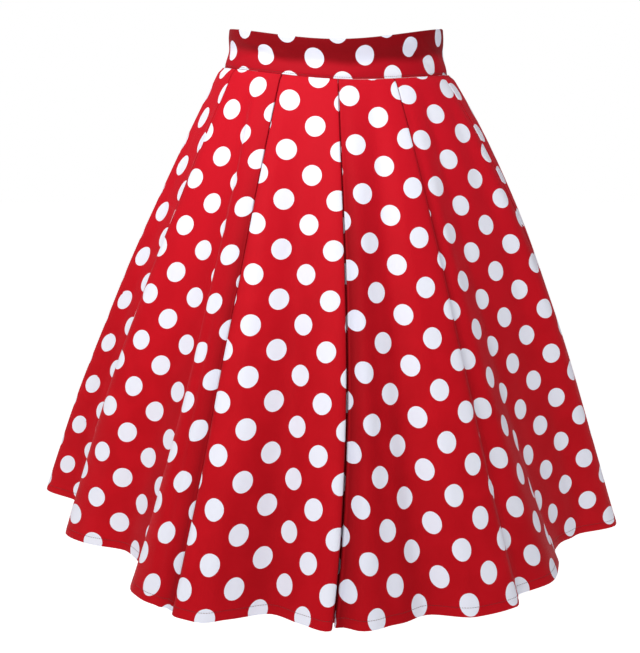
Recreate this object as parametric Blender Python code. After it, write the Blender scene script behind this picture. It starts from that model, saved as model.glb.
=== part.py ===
"""Pleated a-line skirt with a straight waistband and a concealed zip at the centre back.

Metres, +Z up, the front towards -Y.  The origin lies on the skirt's axis, half-way
up the waistband, where the wearer's waist holds the skirt.  Azimuths are measured in
degrees from the front, positive towards +X.
"""
import bpy
import numpy as np

TAU = 2 * np.pi

# Driving dimensions
CLOTH = 0.0012             # wall of the skirt's cloth, measured level
BAND_WALL = 0.0020         # waistband, two layers and stiffening
SEAM_GAP = 0.0003          # between pieces that are sewn together
SEAT_WIDE, SEAT_DEEP = 0.1450, 0.1140       # half axes of the oval at the waist seam
BAND_LOW_WIDE, BAND_LOW_DEEP = 0.1395, 0.1095
BAND_TOP_WIDE, BAND_TOP_DEEP = 0.1328, 0.1060
MEAN_HEM = 0.360           # mean radius of the hem
HIP_SIDE, HIP_FRONT = 0.22, -0.12           # how much of the flare comes early, over the hips
HIP_RIGHT, HIP_LEFT = 0.50, 0.08            # more flare, high on the right and lower on the left
FRONT_DROP = 0.592         # hem below the origin, in front
PLEAT_LAYER = 0.0020       # from layer to layer in a pleat, at the seam
PLEAT_LAYER_HEM = 0.0070
PLEAT_MOUTH = 0.0009       # half the opening between two fold edges, at the seam
PLEAT_MOUTH_HEM = 0.0026
SIDE_SEAM_LEFT, SIDE_SEAM_RIGHT = -88.0, 88.0
ZIP_LENGTH_BELOW = 0.150   # below the waist seam
ZIP_TAPE_HALF = 0.0120
ZIP_TAPE_WALL = 0.0010
SLIDER_TOP_DROP = 0.0050   # below the band's top edge
SLIDER_WIDE, SLIDER_LONG, SLIDER_THICK = 0.0062, 0.0090, 0.0014
BRIDGE_WIDE, BRIDGE_THICK, BRIDGE_LEG = 0.0016, 0.0009, 0.0028
PIN_RADIUS = 0.0007        # the pull tab's cross bar, under the bridge
PIN_ROOM = 0.0003
PULL_LONG, PULL_WIDE, PULL_WALL = 0.0220, 0.0056, 0.0012
LEVELS = (0.0, 0.07, 0.18, 0.32, 0.48, 0.65, 0.82, 1.0)
PANEL_STEPS = 7

# The skirt's cloth all round, a row per wave: azimuth at the seam, half-way down and
# at the hem (degrees), and radius at the hem
RING = [
    ("lobe left", -88.0, -90.5, -92.0, 0.389),
    ("lobe left foot", -80.5, -84.8, -87.0, 0.345),
    ("valley pleat 4", -72.0, -76.0, -79.0, 0.318),
    ("edge pleat 4", -63.0, -68.5, -71.4, 0.356),
    ("panel 4", -59.0, -62.5, -64.5, 0.340),
    ("valley 4", -52.0, -51.5, -55.0, 0.306),
    ("foot 1", -49.0, -44.0, -46.5, 0.314),
    ("ridge 1", -44.0, -37.5, -37.1, 0.374),
    ("strip 1", -40.0, -33.5, -31.0, 0.386),
    ("left of pleat 1", -35.0, -30.0, -28.2, 0.386),
    ("right of pleat 1", -31.5, -27.0, -25.0, 0.402),
    ("edge pleat 1", -29.0, -23.5, -21.5, 0.404),
    ("slope 1", -25.0, -19.0, -17.4, 0.387),
    ("valley 1", -17.0, -12.5, -11.5, 0.362),
    ("slope 2", -9.0, -6.0, -5.9, 0.384),
    ("left of pleat 2", -1.2, 0.8, -1.8, 0.400),
    ("right of pleat 2", 2.2, 3.6, 0.2, 0.389),
    ("ridge 2", 7.0, 6.6, 3.4, 0.399),
    ("slope 3", 14.0, 11.0, 9.6, 0.384),
    ("valley 3", 20.0, 15.5, 14.3, 0.369),
    ("ridge 3", 27.0, 22.5, 21.5, 0.391),
    ("left of pleat 3", 33.0, 30.7, 29.2, 0.386),
    ("right of pleat 3", 36.3, 33.7, 33.2, 0.361),
    ("strip 3", 38.5, 36.3, 39.5, 0.361),
    ("ridge 3b", 44.5, 42.0, 50.0, 0.337),
    ("foot 3b", 50.0, 48.8, 57.5, 0.311),
    ("valley 5", 55.0, 54.5, 61.0, 0.309),
    ("panel 5", 61.0, 64.0, 68.5, 0.321),
    ("tip right", 67.0, 72.5, 77.5, 0.367),
    ("right of pleat 5", 71.5, 78.0, 85.0, 0.362),
    ("side right", 88.0, 89.0, 93.0, 0.348),
    ("valley 6", 97.0, 98.0, 101.0, 0.336),
    ("pleat 6", 106.0, 108.0, 110.0, 0.366),
    ("valley 7", 122.0, 123.0, 123.0, 0.338),
    ("rise 7", 132.0, 133.0, 134.0, 0.356),
    ("pleat 7", 143.0, 144.0, 145.0, 0.376),
    ("valley 8", 157.0, 157.0, 157.0, 0.346),
    ("back right", 168.0, 168.0, 168.0, 0.360),
    ("centre back", 180.0, 180.0, 180.0, 0.368),
    ("back left", 192.0, 192.0, 192.0, 0.358),
    ("valley 9", 203.0, 203.0, 204.0, 0.344),
    ("pleat 8", 217.0, 216.0, 215.0, 0.378),
    ("rise 9", 228.0, 227.0, 226.0, 0.355),
    ("valley 10", 238.0, 237.5, 237.0, 0.340),
    ("pleat 9", 254.0, 251.0, 249.0, 0.370),
    ("valley 11", 263.0, 260.0, 258.0, 0.350),
]

# Inverted box pleats: azimuth at the seam, half-way and hem, and how far the cloth
# goes back under each fold edge at the seam and at the hem
PLEATS = [
    ("pleat 4", -65.0, -70.5, -73.0, 0.024, 0.010),
    ("pleat 1", -33.2, -28.6, -26.6, 0.026, 0.030),
    ("pleat 2", 0.6, 2.3, -0.8, 0.026, 0.030),
    ("pleat 3", 34.6, 32.2, 31.2, 0.020, 0.026),
    ("pleat 5", 69.5, 77.0, 84.0, 0.019, 0.014),
    ("pleat 6", 106.0, 108.0, 110.0, 0.026, 0.030),
    ("pleat 7", 143.0, 144.0, 145.0, 0.026, 0.030),
    ("pleat 8", 217.0, 216.0, 215.0, 0.026, 0.030),
    ("pleat 9", 254.0, 251.0, 249.0, 0.026, 0.030),
]


def seam_height(phi):
    """Waist seam: lowest in front, riding up at the sides, the left a little more."""
    return -0.0245 - 0.0045 * np.cos(phi) - 0.0045 * np.sin(phi) - 0.0045 * np.cos(2 * phi)


def band_top_height(phi):
    """Top edge of the waistband: dips in front and a little at the back."""
    return 0.0245 - 0.0046 * np.cos(phi) - 0.0072 * np.cos(2 * phi)


def hem_height(phi):
    """Hem: level in front, lifted at the far left and a little at the back."""
    left = np.exp(-(((phi % TAU) - np.radians(252)) / np.radians(20)) ** 2)
    return -FRONT_DROP + 0.033 * left + 0.008 * (0.5 - 0.5 * np.cos(phi))


def oval(phi, wide, deep):
    """Radius of an oval with half axes wide (X) and deep (Y) at azimuth phi."""
    return 1 / np.sqrt((np.sin(phi) / wide) ** 2 + (np.cos(phi) / deep) ** 2)


def along(seam, half, hem, s):
    """Smooth change of a value from the seam (s=0) over half-way to the hem (s=1)."""
    return seam * (1 - s) * (1 - 2 * s) + 4 * half * s * (1 - s) + hem * s * (2 * s - 1)


def round_curve(x, y, at):
    """Closed smooth curve through y at azimuths x, with no overshoot between them."""
    count = len(x)
    xe = np.concatenate([x - TAU, x, x + TAU])
    ye = np.tile(y, 3)
    step = np.diff(xe)
    rise = np.diff(ye) / step
    slope = np.zeros(3 * count)
    same = rise[:-1] * rise[1:] > 0
    before = 2 * step[1:] + step[:-1]
    after = step[1:] + 2 * step[:-1]
    low = np.where(same, rise[:-1], 1)
    high = np.where(same, rise[1:], 1)
    slope[1:-1] = np.where(same, (before + after) / (before / low + after / high), 0)
    at = (at - x[0]) % TAU + x[0]
    k = np.clip(np.searchsorted(xe, at, side="right") - 1, 0, len(xe) - 2)
    t = (at - xe[k]) / step[k]
    start = ye[k] * (1 + 2 * t) * (1 - t) ** 2
    stop = ye[k + 1] * t * t * (3 - 2 * t)
    return start + stop + step[k] * (slope[k] * t * (1 - t) ** 2 - slope[k + 1] * t * t * (1 - t))


def cloth_radius(s, phi):
    """Radius of the outer cloth at level s: a cone from the oval seat with waves."""
    early = HIP_FRONT + (HIP_SIDE - HIP_FRONT) * np.sin(phi) ** 2
    right, left = np.clip(np.sin(phi), 0, 1) ** 2, np.clip(-np.sin(phi), 0, 1) ** 2
    flare = s + s * (1 - s) * (early + HIP_RIGHT * right * (1 - s) + HIP_LEFT * left * s)
    places = np.radians([along(row[1], row[2], row[3], s) for row in RING])
    waves = np.array([row[4] - MEAN_HEM for row in RING]) * s
    seat = oval(phi, SEAT_WIDE, SEAT_DEEP)
    return seat + (MEAN_HEM - seat) * flare + round_curve(places, waves, phi)


class Level:
    """Plan section of the outer cloth at level s, read by its length from the centre back."""

    def __init__(self, s, count=4320):
        self.s = s
        self.phi = np.linspace(-np.pi, np.pi, count + 1)
        radius = cloth_radius(s, self.phi)
        self.plan = np.stack([radius * np.sin(self.phi), -radius * np.cos(self.phi)], -1)
        chords = np.diff(self.plan, axis=0)
        self.length = np.concatenate([[0], np.cumsum(np.hypot(*chords.T))])
        self.total = self.length[-1]
        run = chords + np.roll(chords, 1, axis=0)
        out = np.stack([run[:, 1], -run[:, 0]], -1)
        out = np.concatenate([out, out[:1]])
        reach = int(round((0.002 + 0.007 * s) / (self.total / count)))
        blur = np.ones(2 * reach + 1) / (2 * reach + 1)
        for _ in range(2):
            long = np.concatenate([out[-reach - 1:-1], out, out[1:reach + 1]])
            out = np.stack([np.convolve(long[:, i], blur, "valid") for i in (0, 1)], -1)
        self.out = out / np.linalg.norm(out, axis=1)[:, None]

    def place(self, phi):
        """Length along the section at azimuth phi, which may run past the centre back."""
        turns = np.floor((phi + np.pi) / TAU)
        return np.interp(phi - turns * TAU, self.phi, self.length) + turns * self.total

    def point(self, length, lift):
        """Plan points at a length along the cloth, moved out by lift, and their azimuth."""
        length = length % self.total
        x = np.interp(length, self.length, self.plan[:, 0]) + lift * np.interp(length, self.length, self.out[:, 0])
        y = np.interp(length, self.length, self.plan[:, 1]) + lift * np.interp(length, self.length, self.out[:, 1])
        return x, y, np.interp(length, self.length, self.phi)


def box_pleat(s, under, turn_steps=4):
    """Section of one inverted box pleat, from its left fold edge to its right one.

    The cloth turns under at the left edge, runs back by `under`, turns again into
    the flat underlay and comes back the same way, so that three layers lie over
    each other and both edges meet in the middle.
    """
    layer = PLEAT_LAYER + (PLEAT_LAYER_HEM - PLEAT_LAYER) * s ** 1.1
    mouth = PLEAT_MOUTH + (PLEAT_MOUTH_HEM - PLEAT_MOUTH) * s
    t = np.linspace(0, np.pi, turn_steps + 1)
    edge_x = -mouth - layer / 2 + layer / 2 * np.sin(t)
    edge_y = -layer / 2 + layer / 2 * np.cos(t)
    fold_x = -under - layer / 2 * np.sin(t)
    fold_y = -1.5 * layer + layer / 2 * np.cos(t)
    half_x = np.concatenate([edge_x, [(edge_x[-1] - under) / 2], fold_x])
    half_y = np.concatenate([edge_y, [-layer], fold_y])
    middle = np.linspace(-under, under, 5)[1:-1]
    x = np.concatenate([half_x, middle, -half_x[::-1]])
    y = np.concatenate([half_y, np.full(3, -2 * layer), half_y[::-1]])
    return x, y


def cloth_section(s, start, stop):
    """Middle line of one panel at level s between two seams (degrees)."""
    level = Level(s)
    here = level.place(np.radians(start)) + SEAM_GAP / 2
    end = level.place(np.radians(stop)) - SEAM_GAP / 2
    lengths, lifts = [], []
    for turn in (0, 360):
        for name, seam, half, hem, under, under_hem in PLEATS:
            if not start < seam + turn < stop:
                continue
            centre = level.place(np.radians(along(seam, half, hem, s) + turn))
            x, y = box_pleat(s, under + (under_hem - under) * s)
            panel = np.linspace(here, centre + x[0], PANEL_STEPS + 1)[:-1]
            lengths += [panel, (centre + x)[:-1]]
            lifts += [np.zeros(PANEL_STEPS), y[:-1]]
            here = centre + x[-1]
    lengths.append(np.linspace(here, end, PANEL_STEPS + 1))
    lifts.append(np.zeros(PANEL_STEPS + 1))
    x, y, phi = level.point(np.concatenate(lengths), np.concatenate(lifts))
    z = seam_height(phi) + (hem_height(phi) - seam_height(phi)) * s
    return np.stack([x, y, z], -1)


def thick_line(line, wall):
    """Outer and inner lines at half the wall from a level line, mitred at its corners."""
    run = np.diff(line[:, :2], axis=0)
    run /= np.linalg.norm(run, axis=1)[:, None]
    before = np.concatenate([run[:1], run])
    after = np.concatenate([run, run[-1:]])
    mean = before + after
    mean /= np.linalg.norm(mean, axis=1)[:, None]
    out = np.stack([mean[:, 1], -mean[:, 0]], -1)
    mitre = np.minimum(1 / np.maximum((mean * after).sum(1), 0.2), 1.35)[:, None]
    shift = np.zeros_like(line)
    shift[:, :2] = out * mitre * wall / 2
    return line + shift, line - shift


def material(name, colour, roughness, metallic=0.0):
    """Plain Principled material."""
    mat = bpy.data.materials.new(name)
    mat.use_nodes = True
    shader = mat.node_tree.nodes["Principled BSDF"]
    shader.inputs["Base Color"].default_value = (*colour, 1)
    shader.inputs["Roughness"].default_value = roughness
    shader.inputs["Metallic"].default_value = metallic
    return mat


def add_object(name, verts, faces, mat):
    """Named object with smooth faces turned outwards."""
    mesh = bpy.data.meshes.new(name)
    mesh.from_pydata([tuple(v) for v in verts], [], [tuple(f) for f in faces])
    mesh.validate()
    mesh.materials.append(mat)
    mesh.polygons.foreach_set("use_smooth", [True] * len(mesh.polygons))
    obj = bpy.data.objects.new(name, mesh)
    bpy.context.scene.collection.objects.link(obj)
    return obj


def add_shell(name, outer, inner, mat):
    """Closed wall between two grids of points, rows from top to bottom.

    Columns run towards rising azimuth, that is anticlockwise seen from above.
    """
    rows, columns = outer.shape[:2]
    verts = np.concatenate([outer.reshape(-1, 3), inner.reshape(-1, 3)])
    at = np.arange(rows * columns).reshape(rows, columns)
    back = at + rows * columns

    def quads(a, b, c, d):
        return np.stack([a.ravel(), b.ravel(), c.ravel(), d.ravel()], -1)

    faces = [
        quads(at[:-1, :-1], at[1:, :-1], at[1:, 1:], at[:-1, 1:]),
        quads(back[:-1, :-1], back[:-1, 1:], back[1:, 1:], back[1:, :-1]),
        quads(at[0, :-1], at[0, 1:], back[0, 1:], back[0, :-1]),
        quads(at[-1, :-1], back[-1, :-1], back[-1, 1:], at[-1, 1:]),
        quads(at[:-1, 0], back[:-1, 0], back[1:, 0], at[1:, 0]),
        quads(at[:-1, -1], at[1:, -1], back[1:, -1], back[:-1, -1]),
    ]
    return add_object(name, verts, np.concatenate(faces), mat)


def skirt_piece(name, start, stop, mat):
    """One gored piece of the skirt with its pleats folded in."""
    lines = [thick_line(cloth_section(s, start, stop), CLOTH) for s in LEVELS]
    outer = np.array([pair[0] for pair in lines])
    inner = np.array([pair[1] for pair in lines])
    return add_shell(name, outer, inner, mat)


def band_radius(phi, t):
    """Middle of the waistband's wall, t from its top edge (0) to the seam (1)."""
    top = oval(phi, BAND_TOP_WIDE, BAND_TOP_DEEP)
    return top + (oval(phi, BAND_LOW_WIDE, BAND_LOW_DEEP) - top) * t


def band_piece(name, start, stop, columns, mat):
    """One length of the waistband, standing on the waist seam."""
    phi = np.radians(np.linspace(start, stop, columns + 1))
    half_gap = SEAM_GAP / 2 / 0.105
    phi[0] += half_gap
    phi[-1] -= half_gap
    lines = []
    for t in (0.0, 0.35, 0.7, 1.0):
        low = seam_height(phi) + SEAM_GAP
        z = band_top_height(phi) + (low - band_top_height(phi)) * t
        radius = band_radius(phi, t)
        line = np.stack([radius * np.sin(phi), -radius * np.cos(phi), z], -1)
        lines.append(thick_line(line, BAND_WALL))
    outer = np.array([pair[0] for pair in lines])
    inner = np.array([pair[1] for pair in lines])
    return add_shell(name, outer, inner, mat)


def zip_tape(mat):
    """Tape of the concealed zip, behind the centre-back seam and the band's ends."""
    clear = SEAM_GAP + ZIP_TAPE_WALL / 2
    band_y = [band_radius(np.pi, t) - BAND_WALL / 2 - clear for t in (0.08, 0.5, 1.0)]
    band_z = [band_top_height(np.pi) + (seam_height(np.pi) - band_top_height(np.pi)) * t for t in (0.08, 0.5, 1.0)]
    drop = seam_height(np.pi) - hem_height(np.pi)
    depths = np.linspace(0.10, 1.0, 6) * ZIP_LENGTH_BELOW / drop
    cloth_y = [cloth_radius(s, np.array([np.pi]))[0] - CLOTH / 2 - clear - 0.0004 for s in depths]
    cloth_z = [seam_height(np.pi) - drop * s for s in depths]
    y = np.array(band_y + cloth_y)
    z = np.array(band_z + cloth_z)
    x = np.linspace(ZIP_TAPE_HALF, -ZIP_TAPE_HALF, 5)
    outer = np.zeros((len(y), 5, 3))
    outer[..., 0] = x
    outer[..., 1] = y[:, None] + ZIP_TAPE_WALL / 2 - 4.5 * x[None, :] ** 2
    outer[..., 2] = z[:, None]
    inner = outer - np.array([0, ZIP_TAPE_WALL, 0])
    return add_shell("zip_tape", outer, inner, mat)


def zip_frame():
    """Place of the pull tab's bar on the centre back: its point, and the down and out directions."""
    top, low = band_radius(np.pi, 0.0), band_radius(np.pi, 1.0)
    high, foot = band_top_height(np.pi), seam_height(np.pi)
    down = np.array([0, low - top, foot - high])
    down /= np.linalg.norm(down)
    out = np.array([0, -down[2], down[1]])
    face = np.array([0, top + BAND_WALL / 2, high]) + out * (SEAM_GAP + 0.0001)
    lift = SLIDER_THICK + PIN_ROOM + PIN_RADIUS
    bar = face + down * (SLIDER_TOP_DROP + SLIDER_LONG / 2) + out * lift
    return bar, down, out


def swept_outline(outline, half_x, frame):
    """Prism over an outline in (down, out) metres, its ends at +-half_x, as points and faces."""
    bar, down, out = frame
    flat = [bar + down * d + out * o for d, o in outline]
    count = len(flat)
    verts = [p + np.array([half_x, 0, 0]) for p in flat] + [p - np.array([half_x, 0, 0]) for p in flat]
    faces = [tuple(range(count - 1, -1, -1)), tuple(range(count, 2 * count))]
    faces += [(i, (i + 1) % count, count + (i + 1) % count, count + i) for i in range(count)]
    return verts, faces


def united(name, pieces, mat):
    """One closed body from overlapping prisms, joined exactly and turned outwards."""
    objects = []
    for k, (verts, faces) in enumerate(pieces):
        obj = add_object(name if k == 0 else name + "_part", verts, faces, mat)
        bpy.context.view_layer.objects.active = obj
        bpy.ops.object.select_all(action="DESELECT")
        obj.select_set(True)
        bpy.ops.object.mode_set(mode="EDIT")
        bpy.ops.mesh.select_all(action="SELECT")
        bpy.ops.mesh.normals_make_consistent(inside=False)
        bpy.ops.object.mode_set(mode="OBJECT")
        objects.append(obj)
    body = objects[0]
    for other in objects[1:]:
        join = body.modifiers.new("join", "BOOLEAN")
        join.operation = "UNION"
        join.solver = "EXACT"
        join.object = other
        bpy.context.view_layer.objects.active = body
        bpy.ops.object.modifier_apply(modifier="join")
        bpy.data.objects.remove(other, do_unlink=True)
    return body


def zip_slider(frame, mat):
    """Slider's plate with the bridge that holds the pull tab's bar."""
    base = -(PIN_RADIUS + PIN_ROOM)
    plate = [
        (-SLIDER_LONG / 2, base - SLIDER_THICK),
        (SLIDER_LONG / 2, base - SLIDER_THICK),
        (SLIDER_LONG / 2, base - 0.0004),
        (SLIDER_LONG / 2 - 0.0004, base),
        (-SLIDER_LONG / 2 + 0.0004, base),
        (-SLIDER_LONG / 2, base - 0.0004),
    ]
    t = np.linspace(0, np.pi, 13)
    inside = BRIDGE_LEG - BRIDGE_THICK / 2
    outside = BRIDGE_LEG + BRIDGE_THICK / 2
    rise = PIN_RADIUS + PIN_ROOM
    bridge = [(-outside * np.cos(a), (rise + BRIDGE_THICK) * np.sin(a) ** 0.5) for a in t]
    bridge[0], bridge[-1] = (-outside, base - 0.0006), (outside, base - 0.0006)
    inner = [(inside * np.cos(a), rise * np.sin(a) ** 0.5) for a in t]
    inner[0], inner[-1] = (inside, base - 0.0006), (-inside, base - 0.0006)
    pieces = [swept_outline(plate, SLIDER_WIDE / 2, frame), swept_outline(bridge + inner, BRIDGE_WIDE / 2, frame)]
    return united("zip_slider", pieces, mat)


def zip_pull(frame, mat):
    """Pull tab hanging from its bar: a bar, two cheeks and a drop-shaped blade."""
    bar, down, out = frame
    across = np.array([1.0, 0, 0])
    half = PULL_WALL / 2
    window = BRIDGE_LEG + BRIDGE_THICK / 2 + 0.0008
    circle = [(PIN_RADIUS * np.cos(a), PIN_RADIUS * np.sin(a)) for a in np.arange(12) * TAU / 12]
    pieces = [swept_outline(circle, PULL_WIDE / 2 - 0.0004, frame)]

    def blade(outline):
        """Flat plate over an outline in (across, down) metres."""
        flat = [bar + across * x + down * d for x, d in outline]
        count = len(flat)
        verts = [p + out * half for p in flat] + [p - out * half for p in flat]
        faces = [tuple(range(count)), tuple(range(2 * count - 1, count - 1, -1))]
        faces += [(i, count + i, count + (i + 1) % count, (i + 1) % count) for i in range(count)]
        return verts, faces

    side = PULL_WIDE / 2
    for sign in (-1, 1):
        cheek = [(sign * (side - 0.0012), -0.0003), (sign * side, -0.0003), (sign * side, window + 0.001), (sign * (side - 0.0012), window + 0.001)]
        pieces.append(blade(cheek[::sign]))
    t = np.linspace(0, np.pi, 11)
    tip = [(side * np.cos(a), PULL_LONG - side + side * np.sin(a)) for a in t]
    pieces.append(blade([(-side, window)] + [(side, window)] + tip))
    return united("zip_pull", pieces, mat)


def clear_scene():
    """Empty the file."""
    for obj in list(bpy.data.objects):
        bpy.data.objects.remove(obj, do_unlink=True)


clear_scene()
cloth = material("dotted_cloth", (0.60, 0.012, 0.030), 0.55)
band = material("band_cloth", (0.42, 0.008, 0.016), 0.55)
tape = material("zip_tape_cloth", (0.45, 0.010, 0.020), 0.7)
metal = material("zip_metal", (0.45, 0.02, 0.03), 0.35, 0.6)

skirt_piece("skirt_front", SIDE_SEAM_LEFT, SIDE_SEAM_RIGHT, cloth)
skirt_piece("skirt_back_right", SIDE_SEAM_RIGHT, 180.0, cloth)
skirt_piece("skirt_back_left", 180.0, 360.0 + SIDE_SEAM_LEFT, cloth)
band_piece("waistband_front", SIDE_SEAM_LEFT, SIDE_SEAM_RIGHT, 26, band)
band_piece("waistband_back_right", SIDE_SEAM_RIGHT, 180.0, 14, band)
band_piece("waistband_back_left", 180.0, 360.0 + SIDE_SEAM_LEFT, 14, band)
zip_tape(tape)
place = zip_frame()
zip_slider(place, metal)
zip_pull(place, metal)
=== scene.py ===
"""Looks of a pleated a-line skirt in red cotton with white dots, hung as it is worn.

Metres, +Z up, the front towards -Y.  Azimuths are in degrees from the front, positive
towards +X.  Every piece of cloth is a thin shell on the form of the solid it replaces.
"""
import math

import bpy
import numpy as np
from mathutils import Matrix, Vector


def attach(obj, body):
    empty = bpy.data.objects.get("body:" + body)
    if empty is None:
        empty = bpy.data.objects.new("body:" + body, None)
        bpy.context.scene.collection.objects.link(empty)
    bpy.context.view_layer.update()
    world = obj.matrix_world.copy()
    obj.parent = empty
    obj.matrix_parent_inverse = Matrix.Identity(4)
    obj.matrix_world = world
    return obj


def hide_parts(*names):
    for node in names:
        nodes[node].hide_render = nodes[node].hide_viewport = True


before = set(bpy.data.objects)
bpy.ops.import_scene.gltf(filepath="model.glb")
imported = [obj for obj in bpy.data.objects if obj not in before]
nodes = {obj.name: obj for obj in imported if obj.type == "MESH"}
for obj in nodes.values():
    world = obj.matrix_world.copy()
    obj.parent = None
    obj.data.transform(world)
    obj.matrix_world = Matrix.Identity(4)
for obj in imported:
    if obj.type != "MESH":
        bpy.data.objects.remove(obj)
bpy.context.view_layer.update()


# Skirt front
# One wide gore of printed cotton between the side seams, with five inverted box pleats
# pressed in at the waist that open out into deep waves towards the hem.  Cut from one
# width of cloth, folded, and sewn to the waistband along its top edge.
TAU = 2 * np.pi
SEAM_GAP, SIDE_GAP = 0.0003, 0.00008
SEAT_WIDE, SEAT_DEEP = 0.1450, 0.1140       # half axes of the oval at the waist seam
MEAN_HEM = 0.360
HIP_SIDE, HIP_FRONT = 0.22, -0.12
HIP_RIGHT, HIP_LEFT = 0.50, 0.08
FRONT_DROP = 0.592
PLEAT_LAYER, PLEAT_LAYER_HEM = 0.0020, 0.0070
PLEAT_MOUTH, PLEAT_MOUTH_HEM = 0.0009, 0.0026
SIDE_SEAM_LEFT, SIDE_SEAM_RIGHT = -88.0, 88.0
CLOTH_WALL = 0.0008
PANEL_STEPS = 40           # columns of the grid across one panel
HEM_TURN = 0.0095          # height of the turned-up hem
STITCH_ABOVE_HEM = 0.0086
SEAM_ROLL = 0.0026         # how far the cloth rolls in to the band's seam

# name, azimuth at the seam, half-way down and at the hem, radius at the hem
RING = [
    ("lobe left", -88.0, -90.5, -92.0, 0.389),
    ("lobe left foot", -80.5, -84.8, -87.0, 0.345),
    ("valley pleat 4", -72.0, -76.0, -79.0, 0.318),
    ("edge pleat 4", -63.0, -68.5, -71.4, 0.356),
    ("panel 4", -59.0, -62.5, -64.5, 0.340),
    ("valley 4", -52.0, -51.5, -55.0, 0.306),
    ("foot 1", -49.0, -44.0, -46.5, 0.314),
    ("ridge 1", -44.0, -37.5, -37.1, 0.374),
    ("strip 1", -40.0, -33.5, -31.0, 0.386),
    ("left of pleat 1", -35.0, -30.0, -28.2, 0.386),
    ("right of pleat 1", -31.5, -27.0, -25.0, 0.402),
    ("edge pleat 1", -29.0, -23.5, -21.5, 0.404),
    ("slope 1", -25.0, -19.0, -17.4, 0.387),
    ("valley 1", -17.0, -12.5, -11.5, 0.362),
    ("slope 2", -9.0, -6.0, -5.9, 0.384),
    ("left of pleat 2", -1.2, 0.8, -1.8, 0.400),
    ("right of pleat 2", 2.2, 3.6, 0.2, 0.389),
    ("ridge 2", 7.0, 6.6, 3.4, 0.399),
    ("slope 3", 14.0, 11.0, 9.6, 0.384),
    ("valley 3", 20.0, 15.5, 14.3, 0.369),
    ("ridge 3", 27.0, 22.5, 21.5, 0.391),
    ("left of pleat 3", 33.0, 30.7, 29.2, 0.386),
    ("right of pleat 3", 36.3, 33.7, 33.2, 0.361),
    ("strip 3", 38.5, 36.3, 39.5, 0.361),
    ("ridge 3b", 44.5, 42.0, 50.0, 0.337),
    ("foot 3b", 50.0, 48.8, 57.5, 0.311),
    ("valley 5", 55.0, 54.5, 61.0, 0.309),
    ("panel 5", 61.0, 64.0, 68.5, 0.321),
    ("tip right", 67.0, 72.5, 77.5, 0.367),
    ("right of pleat 5", 71.5, 78.0, 85.0, 0.362),
    ("side right", 88.0, 89.0, 93.0, 0.348),
    ("valley 6", 97.0, 98.0, 101.0, 0.336),
    ("pleat 6", 106.0, 108.0, 110.0, 0.366),
    ("valley 7", 122.0, 123.0, 123.0, 0.338),
    ("rise 7", 132.0, 133.0, 134.0, 0.356),
    ("pleat 7", 143.0, 144.0, 145.0, 0.376),
    ("valley 8", 157.0, 157.0, 157.0, 0.346),
    ("back right", 168.0, 168.0, 168.0, 0.360),
    ("centre back", 180.0, 180.0, 180.0, 0.368),
    ("back left", 192.0, 192.0, 192.0, 0.358),
    ("valley 9", 203.0, 203.0, 204.0, 0.344),
    ("pleat 8", 217.0, 216.0, 215.0, 0.378),
    ("rise 9", 228.0, 227.0, 226.0, 0.355),
    ("valley 10", 238.0, 237.5, 237.0, 0.340),
    ("pleat 9", 254.0, 251.0, 249.0, 0.370),
    ("valley 11", 263.0, 260.0, 258.0, 0.350),
]

# name, azimuth at the seam, half-way and hem, depth under each fold at the seam and hem
PLEATS = [
    ("pleat 4", -65.0, -70.5, -73.0, 0.024, 0.010),
    ("pleat 1", -33.2, -28.6, -26.6, 0.026, 0.030),
    ("pleat 2", 0.6, 2.3, -0.8, 0.026, 0.030),
    ("pleat 3", 34.6, 32.2, 31.2, 0.020, 0.026),
    ("pleat 5", 69.5, 77.0, 84.0, 0.019, 0.014),
    ("pleat 6", 106.0, 108.0, 110.0, 0.026, 0.030),
    ("pleat 7", 143.0, 144.0, 145.0, 0.026, 0.030),
    ("pleat 8", 217.0, 216.0, 215.0, 0.026, 0.030),
    ("pleat 9", 254.0, 251.0, 249.0, 0.026, 0.030),
]

# Soft creases in the cloth: azimuth and level where each starts and ends, half its
# width, and how far it stands out (a trough is negative)
CREASES = [
    ("left hip drag", -52.0, 0.04, -44.0, 0.26, 0.010, -0.0016),
    ("left hip roll", -47.0, 0.03, -39.0, 0.22, 0.008, 0.0012),
    ("strip 1 fold", -36.5, 0.36, -31.0, 0.98, 0.0065, -0.0034),
    ("strip 1 roll", -32.5, 0.46, -29.6, 1.00, 0.0055, 0.0022),
    ("panel 4 drag", -60.0, 0.02, -57.0, 0.30, 0.008, -0.0014),
    ("front left soft", -20.0, 0.08, -16.0, 0.45, 0.012, -0.0014),
    ("front left low", -19.0, 0.60, -20.0, 1.00, 0.012, 0.0020),
    ("front right soft", 17.0, 0.06, 13.0, 0.40, 0.012, -0.0012),
    ("front right low", 9.0, 0.55, 7.5, 1.00, 0.010, -0.0022),
    ("right hip drag", 49.0, 0.03, 45.0, 0.25, 0.009, -0.0016),
    ("right hip roll", 57.0, 0.05, 56.0, 0.30, 0.010, 0.0014),
    ("right low", 65.0, 0.50, 66.0, 1.00, 0.012, 0.0020),
    ("back right drag", 124.0, 0.04, 121.0, 0.30, 0.011, -0.0016),
    ("back right low", 131.0, 0.50, 130.0, 1.00, 0.014, 0.0020),
    ("centre back soft", 172.0, 0.25, 169.0, 0.70, 0.014, -0.0014),
    ("back left drag", 232.0, 0.04, 235.0, 0.30, 0.011, -0.0015),
    ("back left low", 227.0, 0.55, 229.0, 1.00, 0.013, 0.0020),
]

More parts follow.
